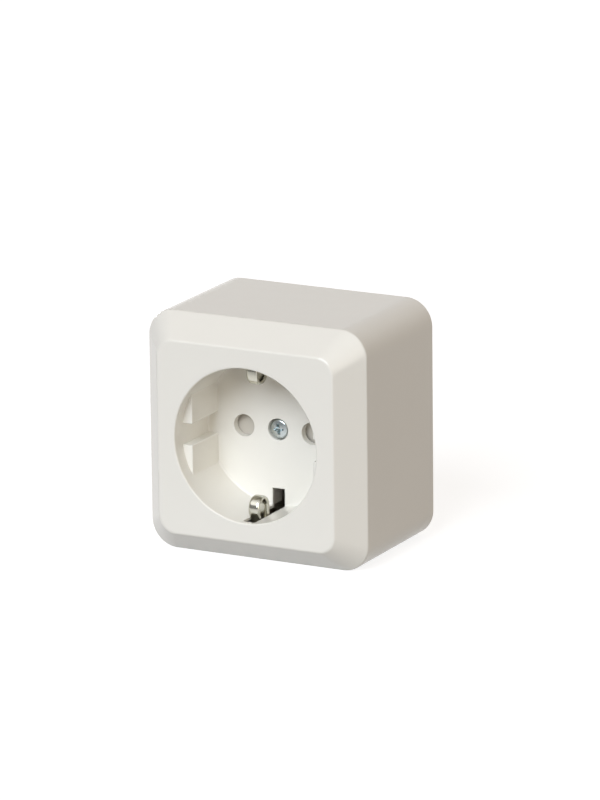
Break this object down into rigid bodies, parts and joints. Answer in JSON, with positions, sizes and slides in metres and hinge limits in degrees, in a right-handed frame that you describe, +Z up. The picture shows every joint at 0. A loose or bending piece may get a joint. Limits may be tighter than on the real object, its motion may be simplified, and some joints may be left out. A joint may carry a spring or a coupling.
{
  "type": "wall socket",
  "caption": "Surface-mounted wall socket: square box cover with bevelled front, round well, side earth springs, turning shutter, screw terminals and base plate.",
  "frame": {"origin": "centre of the wall face of the base plate, on the axis of the round well", "axes": "+Y into the wall, so the front faces -Y; +Z up; +X to the right of a person facing it"},
  "size_m": [0.0606, 0.0435, 0.0612],
  "materials": {
    "cover": "glossy moulded, off-white",
    "inner_plastic": "satin moulded, off-white",
    "shutter_plastic": "satin moulded, light grey beige",
    "zinc_screw": "bright zinc plated",
    "steel_hardware": "plain zinc plated",
    "contact_brass": "stamped, bright",
    "nickel_spring": "nickel plated, bright",
    "spring_steel": "drawn wire"
  },
  "bodies": {
    "root": {"cover": "cover", "cover_screw": "zinc_screw", "cover_nut": "steel_hardware", "shutter_spring": "spring_steel", "shutter_retainer": "inner_plastic", "contact_block": "inner_plastic", "contact_lid": "inner_plastic", "line_contact": "contact_brass", "neutral_contact": "contact_brass", "earth_strap": "nickel_spring", "block_screw_right": "steel_hardware", "block_screw_left": "steel_hardware", "base": "inner_plastic", "line_upper_clamp_plate": "steel_hardware", "line_upper_terminal_screw": "steel_hardware", "line_lower_clamp_plate": "steel_hardware", "line_lower_terminal_screw": "steel_hardware", "neutral_upper_clamp_plate": "steel_hardware", "neutral_upper_terminal_screw": "steel_hardware", "neutral_lower_clamp_plate": "steel_hardware", "neutral_lower_terminal_screw": "steel_hardware", "earth_right_clamp_plate": "steel_hardware", "earth_right_terminal_screw": "steel_hardware", "earth_left_clamp_plate": "steel_hardware", "earth_left_terminal_screw": "steel_hardware"},
    "shutter_body": {"shutter": "shutter_plastic"}
  },
  "joints": [
    {"name": "shutter_turn", "type": "hinge", "parent": "root", "child": "shutter_body", "pos_m": [0, -0.0237, 0], "axis": [0, -1, 0], "range_deg": [0, 40], "stiffness_Nm_per_rad": 0.002, "springref_deg": -17.19, "deforming": ["shutter_spring"]}
  ]
}
